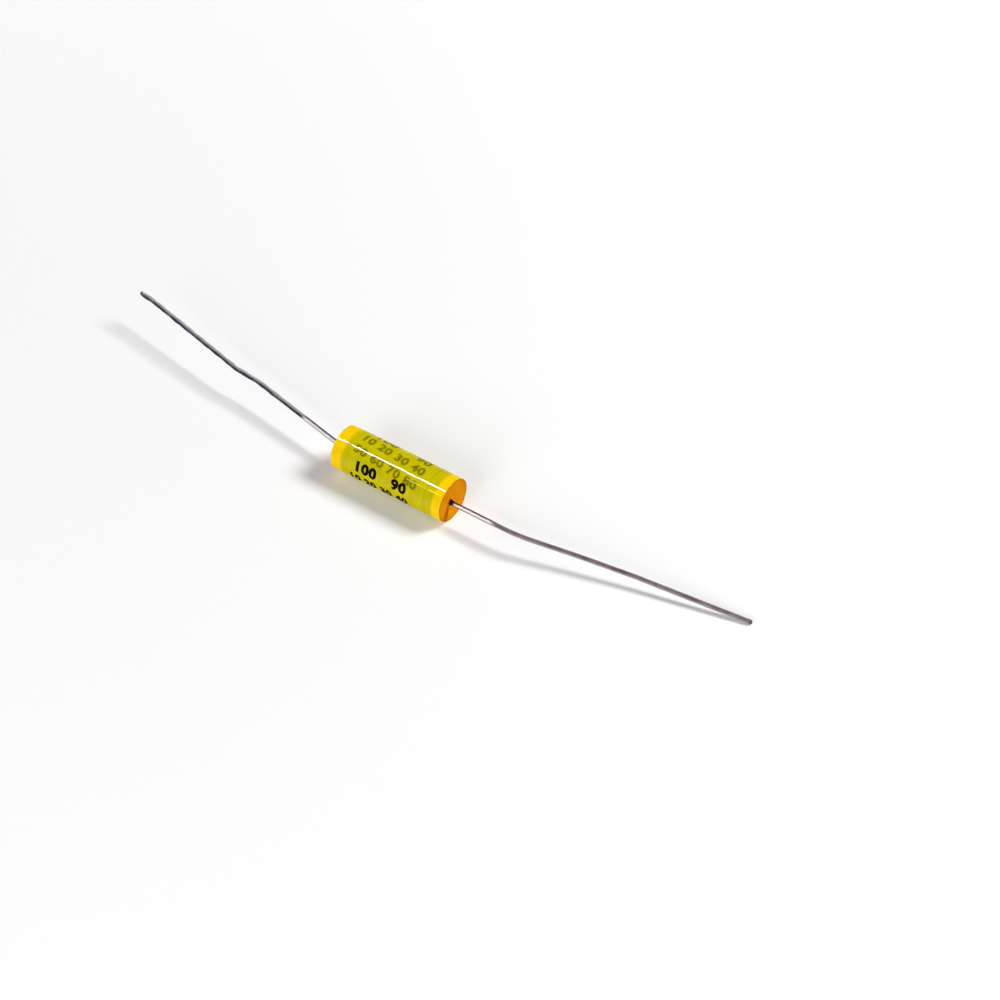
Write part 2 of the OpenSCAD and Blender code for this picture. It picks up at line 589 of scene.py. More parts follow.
@dataclass(frozen=True)
class InnerFinish:
    """Finish of a piece inside the wrap, cloudy or streaked."""

    effects: SharedEffects
    name: str
    light: Colour
    dark: Colour
    metallic: float
    roughness: Pair
    grain: Pattern
    stretch: Triple = (1.0, 1.0, 1.0)
    grain_depth: float = 0.01

    def make(self) -> Material:
        """Build the material.

        Returns:
            The material.
        """
        sheet = MaterialSheet(self.name, {"Metallic": self.metallic})
        place = sheet.stretched(sheet.place(), self.stretch)
        _, grain = sheet.effect(self.effects.streaks, place, self.grain)
        return sheet.finished({
            "Base Color": sheet.mix(grain, self.light, self.dark),
            "Roughness": sheet.span(grain, *self.roughness),
            "Normal": sheet.bump(grain, self.grain_depth),
        })


@dataclass(frozen=True)
class Body:
    """Main sizes of the capacitor's body."""

    radius: float
    length: float
    axis_height: float
    winding_radius: float
    winding_half: float

    @classmethod
    def from_frame(cls) -> "Body":
        """Read the sizes from the CAD nodes' boxes.

        Returns:
            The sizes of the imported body.
        """
        low, high = (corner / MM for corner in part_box("wrap"))
        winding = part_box("winding")[1] / MM
        return cls(
            radius=high.y,
            length=high.x - low.x,
            axis_height=high.z - high.y,
            winding_radius=winding.y,
            winding_half=winding.x,
        )

    def at(self, x: Array, elevation: Array, radius: Array) -> Array:
        """Points about the body's axis.

        Args:
            x: Place along the axis.
            elevation: Angle up from the near side.
            radius: Distance from the axis.

        Returns:
            The points, with their coordinates in the last dimension.
        """
        turn = np.radians(elevation)
        height = self.axis_height + radius * np.sin(turn)
        return joined(x, -radius * np.cos(turn), height)

    def off_end(self, side: Side, across: Array, up: Array, out: Array) -> Array:
        """Points at an end of the body.

        Args:
            side: The end.
            across: Distance from the axis to the far side.
            up: Distance above the axis.
            out: Distance out of the end of the wrap.

        Returns:
            The points, with their coordinates in the last dimension.
        """
        x = side.value * (self.length / 2 + out)
        return joined(x, across, self.axis_height + up)


@dataclass(frozen=True)
class PrintRow:
    """A row of plain figures that runs along the body."""

    name: str
    figures: str
    ink: Ink
    start: float
    width: float
    height: float
    foot: float
    slope: float = 0.0
    weight: float = 0.02
    swell: float = 0.038
    corner_limit: float = 0.6
    spacing: float = 1.1
    strips: int = 14
    least_length: float = 1e-5
    least_area: float = 1e-8

    def flat(self) -> bmesh.types.BMesh:
        """Draw the row flat, in strips that can be bent round the body.

        Returns:
            The row's faces, from its left end on x and from its foot on y.
        """
        curve = bpy.data.curves.new(self.name, "FONT")
        curve.body = self.figures
        curve.offset = self.weight
        curve.space_character = self.spacing
        text = add_object(self.name, curve)
        drawn = text.evaluated_get(bpy.context.evaluated_depsgraph_get())
        mesh = bpy.data.meshes.new_from_object(drawn)
        bpy.data.objects.remove(text)
        bpy.data.curves.remove(curve)
        row = bmesh.new()
        row.from_mesh(mesh)
        bpy.data.meshes.remove(mesh)
        bmesh.ops.remove_doubles(row, verts=row.verts, dist=self.least_length)
        self.embolden(row)
        low = Vector(min(v.co[axis] for v in row.verts) for axis in range(3))
        high = Vector(max(v.co[axis] for v in row.verts) for axis in range(3))
        scale = (self.width / (high.x - low.x), self.height / (high.y - low.y))
        for v in row.verts:
            v.co = Vector(((v.co.x - low.x) * scale[0], (v.co.y - low.y) * scale[1], 0.0))
        for strip in range(1, self.strips):
            level = self.height * strip / self.strips
            everything = row.verts[:] + row.edges[:] + row.faces[:]
            bmesh.ops.bisect_plane(row, geom=everything, plane_co=(0, level, 0), plane_no=(0, 1, 0))
        bmesh.ops.triangulate(row, faces=row.faces)
        bmesh.ops.dissolve_degenerate(row, dist=self.least_length, edges=row.edges)
        return row

    def embolden(self, row: bmesh.types.BMesh) -> None:
        """Push the outline of each figure outwards.

        Args:
            row: The figures as flat faces, which are changed.
        """
        pushes: dict[bmesh.types.BMVert, list[Vector]] = {}
        for edge in row.edges:
            if edge.is_boundary:
                start, end = edge.verts
                along = end.co - start.co
                outward = Vector((along.y, -along.x, 0.0)).normalized()
                if outward.dot(edge.link_faces[0].calc_center_median() - start.co) > 0.0:
                    outward.negate()
                for v in edge.verts:
                    pushes.setdefault(v, []).append(outward)
        for v, ways in pushes.items():
            mean = sum(ways, Vector()).normalized()
            v.co += mean * self.swell / max(self.corner_limit, mean.dot(ways[0]))

    def coverage(self, x: Array, elevation: Array, radius: float) -> Array:
        """Find which points of a grid on the body lie under the row's figures.

        Args:
            x: Place of each point along the body.
            elevation: Elevation of each point.
            radius: Radius at which the row is printed.

        Returns:
            1 at points under a figure and 0 elsewhere.
        """
        right = x - self.start
        up = np.radians(elevation - self.foot - self.slope * right) * radius
        found = np.zeros(x.shape)
        row = self.flat()
        bmesh.ops.triangulate(row, faces=row.faces)
        for face in row.faces:
            if face.calc_area() < self.least_area:
                continue
            corners = [v.co.xy for v in face.verts]
            first, second, third = (
                (b.x - a.x) * (up - a.y) - (b.y - a.y) * (right - a.x)
                for a, b in zip(corners, corners[1:] + corners[:1])
            )
            least = np.minimum(np.minimum(first, second), third)
            most = np.maximum(np.maximum(first, second), third)
            found[(least >= 0) | (most <= 0)] = 1.0
        row.free()
        return found


@dataclass
class TapeWrap:
    """Turns of tape round the winding, with a lapped outer end and loose edges."""

    body: Body
    rows: Sequence[PrintRow]
    tape: float = 0.06
    turns: int = 3
    lap: float = 48.0
    lap_stands: Pair = (2.4, 3.0)
    lap_step: Pair = (3.2, 20.0)
    lap_line_runs: Sequence[Band] = ((2.6, 5.1, 0.35), (5.75, 7.56, 0.9))
    lap_line_fade: float = 0.3
    lap_line_width: float = 1.5
    sag: float = 0.009
    sag_run: float = 1.0
    ripple: float = 0.006
    edge_round: float = 0.02
    edge_wander: float = 0.03
    edge_phase: float = 2.1
    edge_shares: Pair = (0.12, 0.98)
    columns: int = 318
    printed: Pair = (-36.0, 140.0)
    printed_step: float = 0.9
    lap_half: float = 3.0
    lap_fine_step: float = 0.25
    plain_step: float = 4.0
    ink_lift: float = 0.006
    ink_depth: float = 0.010
    under_blur: int = 2
    under_strength: float = 0.88
    wrap: Object = field(init=False)
    figures: Sequence[Object] = field(init=False)

    def elevations(self) -> Array:
        """Angles of the rows of points: fine where it is printed, finest at the lap.

        Returns:
            The angles of a whole turn, in order.
        """
        start, end = self.printed
        printed = np.arange(start, end, self.printed_step)
        lap = np.arange(self.lap - self.lap_half, self.lap + self.lap_half, self.lap_fine_step)
        plain = np.arange(end, start + 360.0, self.plain_step)
        return np.unique(np.concatenate([printed, lap, plain]).round(2))

    def skin(self, x: Array, elevation: Array) -> Array:
        """Radius of the outer surface.

        Args:
            x: Place along the body.
            elevation: Angle up from the near side.

        Returns:
            The radius, with the lap's step, the sag past the winding and a slight ripple.
        """
        below = within_half_turn(self.lap - elevation)
        turn = np.radians(np.clip(below, 0.0, 180.0))
        spiral = off_centre_radius(self.body.radius + self.tape / 2, self.tape / 2, turn)
        crisp, soft = self.lap_step
        half_step = (soft + (crisp - soft) * ease(x, *self.lap_stands)) / 2
        lapped = self.body.radius + ease(below, -half_step, half_step) * (spiral - self.body.radius)
        past_winding = np.abs(x) - self.body.winding_half
        sag = self.sag * ease(past_winding, -self.sag_run / 2, self.sag_run / 2)
        around = np.radians(elevation)
        # Waves of unlike lengths, so that the ripple doesn't repeat along the body.
        ripple = (
            np.sin(0.75 * x + 0.6) * np.cos(3.0 * around + 0.4)
            + 0.6 * np.sin(1.9 * x - 1.0) * np.cos(5.0 * around - 0.3 * x)
        )
        return lapped - sag + self.ripple * ripple

    def rim(self, side: Side, skin: Array, elevation: Array) -> list[tuple[Array, Array]]:
        """Steps of the tape's edges at one end, from the outer turn to the inner one.

        Args:
            side: The end.
            skin: Outer radius at that end, for each elevation.
            elevation: Angles of the rows of points.

        Returns:
            Places along the body and radii, a pair for each point of the steps.
        """
        around = np.radians(elevation)
        inner = self.body.winding_radius
        steps = []
        for turn in range(self.turns):
            phase = self.edge_phase * turn + side.value
            wander = 0.7 * np.sin(around + phase) + 0.3 * np.sin(3.0 * around - phase)
            x = side.value * (self.body.length / 2 + self.edge_wander * wander)
            for share in self.edge_shares:
                steps.append((x, skin + (inner - skin) * (turn + share) / self.turns))
        return steps

    def build(self) -> None:
        """Build the wrap as one closed skin, which stands for the CAD node, and the print on it."""
        elevation = self.elevations()
        reach = self.body.length / 2 - self.edge_round
        grid_x, grid_e = np.meshgrid(np.linspace(-reach, reach, self.columns), elevation)
        skin = self.skin(grid_x, grid_e)
        steps = self.rim(Side.RIGHT, skin[:, -1], elevation)
        steps += reversed(self.rim(Side.LEFT, skin[:, 0], elevation))
        x = np.column_stack([grid_x] + [place for place, _ in steps])
        radius = np.column_stack([skin] + [height for _, height in steps])
        points = self.body.at(x, elevation[:, None], radius)
        piece = add_piece("tape_wrap", points, ring_faces(*x.shape))
        rim = ((0, 0), (0, len(steps)))
        add_attributes(
            piece,
            under_print=np.pad(self.under_print(grid_x, grid_e), rim),
            lap_line=np.pad(self.lap_line(grid_x, grid_e), rim),
            cut_edge=np.pad(np.zeros(grid_x.shape), rim, constant_values=1.0),
        )
        self.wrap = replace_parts(piece, "wrap")
        self.figures = [self.bent_row(row) for row in self.rows if row.ink is Ink.OUTER]

    def dress(self, tape: Material, ink: Material) -> None:
        """Give the wrap its tape and the figures their ink.

        Args:
            tape: Material of the wrap.
            ink: Material of the figures.
        """
        give_material(self.wrap, tape)
        for figure in self.figures:
            give_material(figure, ink)

    def lap_line(self, x: Array, elevation: Array) -> Array:
        """Strength of the glow painted along the cut edge of the tape's outer end, where light shines
        through it.

        Args:
            x: Place of each point along the body.
            elevation: Elevation of each point.

        Returns:
            The strength at each point.
        """
        line = np.exp(-(((elevation - self.lap) / self.lap_line_width) ** 2))
        fade = self.lap_line_fade
        return line * sum(
            strength * ease(x, start, start + fade) * ease(x, end, end - fade)
            for start, end, strength in self.lap_line_runs
        )

    def under_print(self, x: Array, elevation: Array) -> Array:
        """Strength of the print that shows through from the turns below, blurred by the tape.

        Args:
            x: Place of each point along the body.
            elevation: Elevation of each point.

        Returns:
            The strength at each point.
        """
        mask = np.zeros(x.shape)
        for row in self.rows:
            if row.ink is Ink.UNDER:
                mask = np.maximum(mask, row.coverage(x, elevation, self.body.radius))
                LOG.info("printed %s under the outer turn", row.name)
        for _ in range(self.under_blur):
            for axis in (0, 1):
                mask = (np.roll(mask, 1, axis) + 2.0 * mask + np.roll(mask, -1, axis)) / 4.0
        return mask * self.under_strength

    def bent_row(self, row: PrintRow) -> Object:
        """Bend one row of figures round the wrap, as a thin layer of ink.

        Args:
            row: The row to lay on.

        Returns:
            A closed layer of ink that starts just inside the tape's surface.
        """
        shape = row.flat()
        flat = np.array([v.co for v in shape.verts])
        faces = [[v.index for v in face.verts] for face in shape.faces]
        rim = [[v.index for v in loop.edge.verts] for face in shape.faces for loop in face.loops
               if loop.edge.is_boundary]
        shape.free()
        x = row.start + flat[:, 0]
        elevation = row.foot + row.slope * flat[:, 0] + np.degrees(flat[:, 1] / self.body.radius)
        skin = self.skin(x, elevation)
        top, bottom = (self.body.at(x, elevation, skin + lift)
                       for lift in (self.ink_lift, self.ink_lift - self.ink_depth))
        count = len(flat)
        lower = [[i + count for i in reversed(face)] for face in faces]
        walls = [[a, b, b + count, a + count] for a, b in rim]
        return add_piece(row.name, np.vstack([top, bottom]), faces + lower + walls)


@dataclass
class EndResin:
    """Resin cast into one end of the wrap, wetting the tape and the lead."""

    body: Body
    side: Side
    node: str
    offset: float = 0.0
    depth: float = 1.4
    dish: float = 0.10
    wall_share: float = 0.24
    wall_climb: float = 0.22
    wire: float = 0.3
    climb: float = 0.30
    climb_run: float = 0.13
    solder_height: float = 0.9
    solder_radii: Pair = (1.9985, 1.6985)
    unevenness: float = 0.006
    calm_edge: float = 0.4
    rim_reach: Pair = (0.30, 0.02)
    stain_reach: Pair = (0.24, 0.50)
    stain_wobble: float = 0.05
    stain_shift: Pair = (-0.06, 0.16)
    wet_reach: Pair = (0.34, 0.44)
    # Ends of a fine dark line down the face, as distances across and up.
    crease: Sequence[Pair] = ()
    crease_reach: Pair = (0.42, 0.14)
    crease_faint: float = 0.35
    crease_fade: float = 0.5
    spokes: int = 180
    rings: int = 44
    plug: Object = field(init=False)

    def build(self) -> None:
        """Build the plug round its lead, which stands for the CAD node."""
        around = whole_turn(self.spokes)[:, None]
        share = ease(np.linspace(0.0, 1.0, self.rings), 0.0, 1.0)[None, :]
        wall = off_centre_radius(self.body.winding_radius, self.offset, around)
        reach = self.wire + (wall - self.wire) * share
        face = self.face_height(around, reach, wall)
        wide, narrow = self.solder_radii
        floor, pocket = -self.depth, self.solder_height - self.depth
        under = ((wall, floor), (wide, floor), (narrow, pocket), (self.wire, pocket))
        flat = np.ones_like(wall)
        reach = np.column_stack([reach] + [gap * flat for gap, _ in under])
        out = np.column_stack([face] + [height * flat for _, height in under])
        across, up = reach * np.cos(around) - self.offset, reach * np.sin(around)
        points = self.body.off_end(self.side, across, up, out)
        piece = add_piece(self.node + "_plug", points, ring_faces(*out.shape))
        add_attributes(
            piece,
            stain=self.stain(across, up),
            rim=ease(self.body.winding_radius - np.hypot(across, up), *self.rim_reach),
            crease=self.crease_mark(across, up) if self.crease else np.zeros(across.shape),
        )
        self.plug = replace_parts(piece, self.node)

    def dress(self, resin: Material) -> None:
        """Give the plug its resin."""
        give_material(self.plug, resin)

    def face_height(self, around: Array, reach: Array, wall: Array) -> Array:
        """Height of the face: a shallow dish that climbs the tape and the lead.

        Args:
            around: Direction of each point from the lead, in radians.
            reach: Distance of each point from the lead's middle.
            wall: Distance of the tape in that direction.

        Returns:
            The height of each point out of the end of the wrap.
        """
        centre_gap = np.hypot(reach * np.cos(around) - self.offset, reach * np.sin(around))
        bowl = self.dish * (np.minimum(centre_gap / self.body.winding_radius, 1.0) ** 2 - 1.0)
        at_wall = self.wall_share * self.dish * (np.exp((reach - wall) / self.wall_climb) - 1.0)
        at_lead = self.climb * np.exp((self.wire - reach) / self.climb_run)
        wave = np.sin(3.0 * around + 2.0 * reach) * np.sin(2.3 * reach)
        wave += 0.5 * np.sin(5.0 * around - reach)
        calm = ease(wall - reach, 0.0, self.calm_edge)
        return bowl + at_wall + at_lead + self.unevenness * wave * calm

    def stain(self, across: Array, up: Array) -> Array:
        """Strength of the dark patch round the lead's root.

        Args:
            across: Distance of each point from the axis to the far side.
            up: Distance of each point above the axis.

        Returns:
            The strength at each point.
        """
        right, rise = across + self.offset - self.stain_shift[0], up - self.stain_shift[1]
        wobble = self.stain_wobble * np.sin(3.0 * np.arctan2(rise, right) + 1.0)
        spread = ease(np.hypot(right, rise) * (1.0 + wobble), *self.stain_reach)
        wet = ease(np.hypot(across + self.offset, up), *self.wet_reach)
        return 1.0 - np.minimum(spread, wet)

    def crease_mark(self, across: Array, up: Array) -> Array:
        """Strength of the fine dark line down the face, fainter at its upper end.

        Args:
            across: Distance of each point from the axis to the far side.
            up: Distance of each point above the axis.

        Returns:
            The strength at each point.
        """
        start, end = (np.array(p) for p in self.crease)
        run = end - start
        right, rise = across - start[0], up - start[1]
        share = np.clip((right * run[0] + rise * run[1]) / (run @ run), 0.0, 1.0)
        gap = np.hypot(right - share * run[0], rise - share * run[1])
        strength = self.crease_faint + (1.0 - self.crease_faint) * ease(share, 0.0, self.crease_fade)
        return strength * ease(gap, *self.crease_reach)


@dataclass
class Lead:
    """Tinned wire lead: a flat hook in the solder and a run of slight bends to a cut tip."""

    body: Body
    side: Side
    node: str
    exit_run: float
    runs: Sequence[float]
    headings: Sequence[float]
    pitch: float
    bend: float
    offset: float = 0.0
    wire: float = 0.3
    hook_half: float = 1.1
    hook_bend: float = 0.5
    hook_out: float = -1.05
    step: float = 0.12
    least_steps: int = 4
    sides: int = 28
    sharp: float = 60.0
    lumps: float = 0.014
    lumps_rise: Pair = (6.0, 14.0)
    root_stain: Pair = (0.42, 0.58)
    dull: Pair = (5.5, 6.7)
    # Painted reflections: dark bands round the wire by the body and further out, and a band along its
    # lower edge.
    near_tarnish: Sequence[Band] = ((99.0, 43.5, 1.1),)
    far_tarnish: Sequence[Band] = ((54.0, 50.0, 0.92), (236.0, 64.0, 0.8))
    lower_edge: Sequence[Band] = ((-28.0, 45.0, 1.0),)
    tarnish_patches: float = 0.06
    tarnish_fade: float = 0.0
    tip_tarnish: float = 0.8
    tip_round: float = 0.16
    tip_shrink: float = 0.72
    pinch_run: float = 0.7
    pinch: float = 0.22
    pinch_spread: float = 0.35
    drawn_length: float = 0.12
    tube: Object = field(init=False)

    def corners(self) -> tuple[list[Array], list[float]]:
        """Corner points of the wire's middle line, and the bend radius at each.

        Returns:
            Points as distances across, up and out of the end, and the radii.
        """
        across, half = -self.offset, self.hook_half
        hook = [(across - half, -half / 2), (across - half, half), (across + half, half),
                (across + half, 0.0), (across, 0.0)]
        points = [np.array((*place, self.hook_out)) for place in hook]
        points.append(np.array((across, 0.0, self.exit_run)))
        rise = math.radians(self.pitch)
        for run, heading in zip(self.runs, self.headings):
            turn = math.radians(heading)
            way = (math.cos(rise) * math.sin(turn), math.sin(rise), math.cos(rise) * math.cos(turn))
            points.append(points[-1] + run * np.array(way))
        hook_bends = (len(hook) - 1) * [self.hook_bend]
        return points, [0.0] + hook_bends + len(self.runs) * [self.bend] + [0.0]

    def middle_line(self) -> Array:
        """Points along the wire's middle, close together, with each corner as an arc.

        Returns:
            The points as distances across, up and out of the end.
        """
        points, bends = self.corners()
        line = [points[0]]
        for before, corner, after, radius in zip(points, points[1:], points[2:], bends[1:]):
            way_in = (corner - before) / np.linalg.norm(corner - before)
            way_out = (after - corner) / np.linalg.norm(after - corner)
            turn = math.acos(min(1.0, float(way_in @ way_out)))
            inward = (way_out - way_in * math.cos(turn)) / math.sin(turn)
            start = corner - radius * math.tan(turn / 2) * way_in
            line += self.straight(line[-1], start)
            count = max(self.least_steps, math.ceil(radius * turn / self.step))
            for angle in np.linspace(0.0, turn, count + 1)[1:]:
                arc = math.sin(angle) * way_in + (1.0 - math.cos(angle)) * inward
                line.append(start + radius * arc)
        line += self.straight(line[-1], points[-1])
        return np.array(line)

    def straight(self, start: Array, end: Array) -> list[Array]:
        """Points from just after start up to end."""
        count = max(1, math.ceil(np.linalg.norm(end - start) / self.step))
        return [start + (end - start) * i / count for i in range(1, count + 1)]

    def build(self) -> None:
        """Build the wire as one tube, which stands for the CAD node."""
        line = self.middle_line()
        gaps = np.linalg.norm(np.diff(line, axis=0), axis=1)
        along = np.concatenate([[0.0], np.cumsum(gaps)])
        to_tip = along[-1] - along
        from_body = to_tip[np.argmin(np.abs(line[:, 2]))] - to_tip
        ways = np.gradient(line, along, axis=0)
        ways /= np.linalg.norm(ways, axis=1)[:, None]
        first, second = self.cross_axes(ways)
        turn = whole_turn(self.sides)
        radius = self.wire * self.swelling(from_body, turn) * self.tip_taper(to_tip)[:, None]
        squeeze = self.pinch * ease(to_tip, self.pinch_run, 0.0)[:, None]
        wide = radius * np.cos(turn) * (1.0 + self.pinch_spread * squeeze)
        thin = radius * np.sin(turn) * (1.0 - squeeze)
        outward = wide[..., None] * first[:, None] + thin[..., None] * second[:, None]
        points = self.body.off_end(self.side, *np.moveaxis(line[:, None] + outward, -1, 0))
        count = len(line)
        faces = ring_faces(count, self.sides, closed=False)
        faces += [tuple(range(self.sides)), tuple(range((count - 1) * self.sides, count * self.sides))]
        piece = add_piece(self.node + "_wire", points, faces, self.sharp)
        far = ease(from_body, *self.dull)
        root = 1.0 - ease(from_body, *self.root_stain)
        length = self.drawn_length * along[:, None]
        add_attributes(
            piece,
            far=np.repeat(far, self.sides),
            root=np.repeat(root, self.sides),
            tarnish=self.tarnish(outward, from_body, far),
            # Painted reflection along the wire's lower edge, by the body.
            lower_edge=self.banded(outward, self.lower_edge, 1.0 - far),
            drawn=joined(np.cos(turn), np.sin(turn), length),
        )
        self.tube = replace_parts(piece, self.node)

    def dress(self, tin: Material) -> None:
        """Give the wire its tin."""
        give_material(self.tube, tin)

    def tarnish(self, outward: Array, from_body: Array, far: Array) -> Array:
        """Strength of the dark reflections painted along the wire in bands, patchy further out, and of
        the darker cut tip.

        Args:
            outward: Direction from the wire's middle to each point, as across, up and out.
            from_body: Distance of each ring from the body along the wire.
            far: Share of the dull far part of the wire, for each ring.

        Returns:
            The strength at each point.
        """
        s = from_body
        # Waves whose lengths change along the wire, so that the patches don't repeat.
        patches = np.sin(1.13 * s + 1.9 * np.sin(0.37 * s))
        patches += 0.6 * np.sin(2.9 * s + 2.3 * np.sin(0.71 * s))
        patchy = far * (1.0 + self.tarnish_patches * patches - self.tarnish_fade * s / s[-1])
        strength = self.banded(outward, self.near_tarnish, 1.0 - far)
        strength += self.banded(outward, self.far_tarnish, patchy)
        return np.maximum(strength, ease(s[-1] - s, self.tip_tarnish, 0.0)[:, None])

    @staticmethod
    def banded(outward: Array, bands: Sequence[Band], share: Array) -> Array:
        """Strength of soft bands that run along the wire.

        Args:
            outward: Direction from the wire's middle to each point, as across, up and out.
            bands: Elevation of the middle, half width and strength of each band.
            share: Share of the full strength, for each ring.

        Returns:
            The strength at each point.
        """
        elevation = np.degrees(np.arctan2(outward[..., 1], -outward[..., 0]))
        strength = np.zeros(elevation.shape)
        for centre, half, most in bands:
            gap = within_half_turn(elevation - centre)
            strength += most * share[:, None] * np.exp(-((gap / half) ** 4))
        return strength

    @staticmethod
    def cross_axes(ways: Array) -> tuple[Array, Array]:
        """Axes across the wire that turn as little as they can along it.

        Args:
            ways: Direction of the wire at each ring.

        Returns:
            The first and the second axis at each ring.
        """
        first = np.empty_like(ways)
        axis = np.cross(ways[0], (0.0, 0.0, 1.0))
        for i, way in enumerate(ways):
            axis = axis - (axis @ way) * way
            axis = axis / np.linalg.norm(axis)
            first[i] = axis
        return first, np.cross(ways, first)

    def swelling(self, from_body: Array, turn: Array) -> Array:
        """Uneven thickness of the tin, none inside the body.

        Args:
            from_body: Distance of each ring from the body along the wire.
            turn: Direction of each point of a ring, in radians.

        Returns:
            The factor on the wire's radius at each point.
        """
        s = from_body[:, None]
        lumps = (
            np.sin(1.7 * s + self.side.value) * np.sin(0.61 * s + 0.8)
            + 0.6 * np.sin(3.1 * s + 2.0 * np.cos(turn)[None, :])
            + 0.4 * np.sin(7.3 * s) * np.cos(2.0 * turn[None, :] + s)
        )
        return 1.0 + self.lumps * lumps * ease(s, *self.lumps_rise)

    def tip_taper(self, to_tip: Array) -> Array:
        """Share of the full radius near the cut tip."""
        share = np.clip(1.0 - to_tip / self.tip_round, 0.0, 1.0)
        return np.sqrt(1.0 - self.tip_shrink * share**2)


@dataclass(frozen=True)
class InnerPieces:
    """CAD nodes inside the wrap, which keep their shapes and share a finish."""

    nodes: Sequence[str]

    def dress(self, material: Material) -> None:
        """Give each node its material."""
        for node in self.nodes:
            give_material(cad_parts[node], material)


@dataclass(frozen=True)
class Lamp:
    """A soft panel of light that faces the body."""

    name: str
    direction: Triple
    distance: float
    size: Pair
    radiance: float
    glow: Glow = Glow.WHOLE
    power_factor: float = 4.0

    def build(self, target: Vector) -> None:
        """Hang the lamp round a point of the body.

        Args:
            target: The point that the panel faces, in metres.
        """
        lamp = bpy.data.lights.new(self.name, "AREA")
        lamp.shape = "RECTANGLE"
        lamp.size, lamp.size_y = (side * MM for side in self.size)
        lamp.energy = self.power_factor * self.radiance * lamp.size * lamp.size_y
        panel = add_object(self.name, lamp)
        back = Vector(self.direction).normalized()
        along = Vector((1.0, 0.0, 0.0))
        along = (along - along.dot(back) * back).normalized()
        turn = Matrix((along, back.cross(along), back)).transposed()
        panel.matrix_world = Matrix.Translation(target + back * self.distance * MM) @ turn.to_4x4()
        panel.visible_camera = False
        panel.visible_diffuse = self.glow is Glow.WHOLE
        LOG.info("hung %s", self.name)


@dataclass
class Studio:
    """Pale floor, soft light and the photograph's viewpoint."""

    body: Body
    azimuth: float = 34.866
    elevation: float = 45.0
    focal: float = 79.2
    sensor: float = 36.0
    image: float = 1000.0
    body_pixel: Pair = (398.4, 473.1)
    body_depth: float = 261.63
    nearest: float = 10.0
    floor_half: float = 4000.0
    floor_colour: Colour = (0.90, 0.90, 0.90)
    floor_roughness: float = 0.9
    floor_glow: Pair = (0.05, 0.90)
    floor_glow_reach: float = 600.0
    white: Colour = (1.0, 1.0, 1.0)
    horizon: float = 0.30
    zenith: float = 0.10
    horizon_height: float = 0.05
    zenith_height: float = 0.50
    lamps: Sequence[Lamp] = (
        Lamp("key_panel", (-0.446, -0.253, 0.859), 600.0, (75.0, 56.0), 80.0, Glow.GLOSS),
        Lamp("front_panel", (0.05, -0.90, 0.43), 600.0, (320.0, 280.0), 5.2),
        Lamp("left_panel", (-0.85, -0.20, 0.35), 600.0, (300.0, 300.0), 2.47),
        Lamp("back_panel", (0.50, 0.48, 0.72), 600.0, (220.0, 180.0), 19.8),
    )

    def build(self) -> None:
        """Set up floor, world, lamps and camera."""
        bpy.context.scene.view_settings.view_transform = "Standard"
        self.build_floor()
        self.build_world()
        centre = Vector((0.0, 0.0, self.body.axis_height)) * MM
        for lamp in self.lamps:
            lamp.build(centre)
        self.build_camera(centre)

    def build_floor(self) -> None:
        """Lay a pale floor that keeps the part's shadow and stays pale away from the lamps."""
        half = self.floor_half * MM
        mesh = bpy.data.meshes.new("floor")
        corners = [(-half, -half, 0), (half, -half, 0), (half, half, 0), (-half, half, 0)]
        mesh.from_pydata(corners, [], [(0, 1, 2, 3)])
        floor = add_object("floor", mesh)
        sheet = MaterialSheet("pale_floor", {
            "Base Color": self.floor_colour,
            "Roughness": self.floor_roughness,
            "Specular IOR Level": 0.0,
            "Emission Color": self.white,
        })
        away = sheet.add("ShaderNodeVectorMath", {0: sheet.place()}, operation="LENGTH").outputs["Value"]
        glow = sheet.span(sheet.ramp(away, 0.0, self.floor_glow_reach * MM), *self.floor_glow)
        glow = sheet.math("MULTIPLY", self.seen_directly(sheet), glow)
        give_material(floor, sheet.finished({"Emission Strength": glow}))

    @staticmethod
    def seen_directly(sheet: NodeSheet) -> NodeSocket:
        """Tell which rays show a surface: those from the camera, a gloss or a clear piece.

        Args:
            sheet: The material's node tree.

        Returns:
            1 for such rays and 0 for others.
        """
        path = sheet.add("ShaderNodeLightPath").outputs
        seen = sheet.math("MAXIMUM", path["Is Camera Ray"], path["Is Glossy Ray"])
        return sheet.math("MAXIMUM", seen, path["Is Transmission Ray"])

    def build_world(self) -> None:
        """Surround the part with pale walls under a dim ceiling."""
        world = bpy.data.worlds.new("studio")
        bpy.context.scene.world = world
        world.use_nodes = True
        sheet = NodeSheet(world.node_tree)
        way = sheet.add("ShaderNodeTexCoord").outputs["Generated"]
        height = sheet.add("ShaderNodeSeparateXYZ", {"Vector": way}).outputs["Z"]
        ceiling = sheet.ramp(height, self.horizon_height, self.zenith_height)
        strength = sheet.span(ceiling, self.horizon, self.zenith)
        sheet.feed(world.node_tree.nodes["Background"], {"Color": self.white, "Strength": strength})

    def build_camera(self, centre: Vector) -> None:
        """Place the camera so that the body's centre falls on its pixel of the photograph.

        Args:
            centre: Centre of the body, in metres.
        """
        turn, tilt = math.radians(self.azimuth), math.radians(self.elevation)
        ahead = Vector((-math.sin(turn), math.cos(turn), 0.0))
        forward = ahead * math.cos(tilt) - Vector((0.0, 0.0, math.sin(tilt)))
        right = Vector((math.cos(turn), math.sin(turn), 0.0))
        up = right.cross(forward)
        per_pixel = self.sensor / self.focal / self.image * self.body_depth * MM
        across, down = ((pixel - self.image / 2) * per_pixel for pixel in self.body_pixel)
        lens = bpy.data.cameras.new("camera")
        lens.lens, lens.sensor_width, lens.sensor_fit = self.focal, self.sensor, "HORIZONTAL"
        lens.clip_start = self.nearest * MM
        camera = add_object("camera", lens)
        turned = Matrix((right, up, -forward)).transposed().to_4x4()
        place = centre - forward * self.body_depth * MM - right * across + up * down
        camera.matrix_world = Matrix.Translation(place) @ turned
        bpy.context.scene.camera = camera


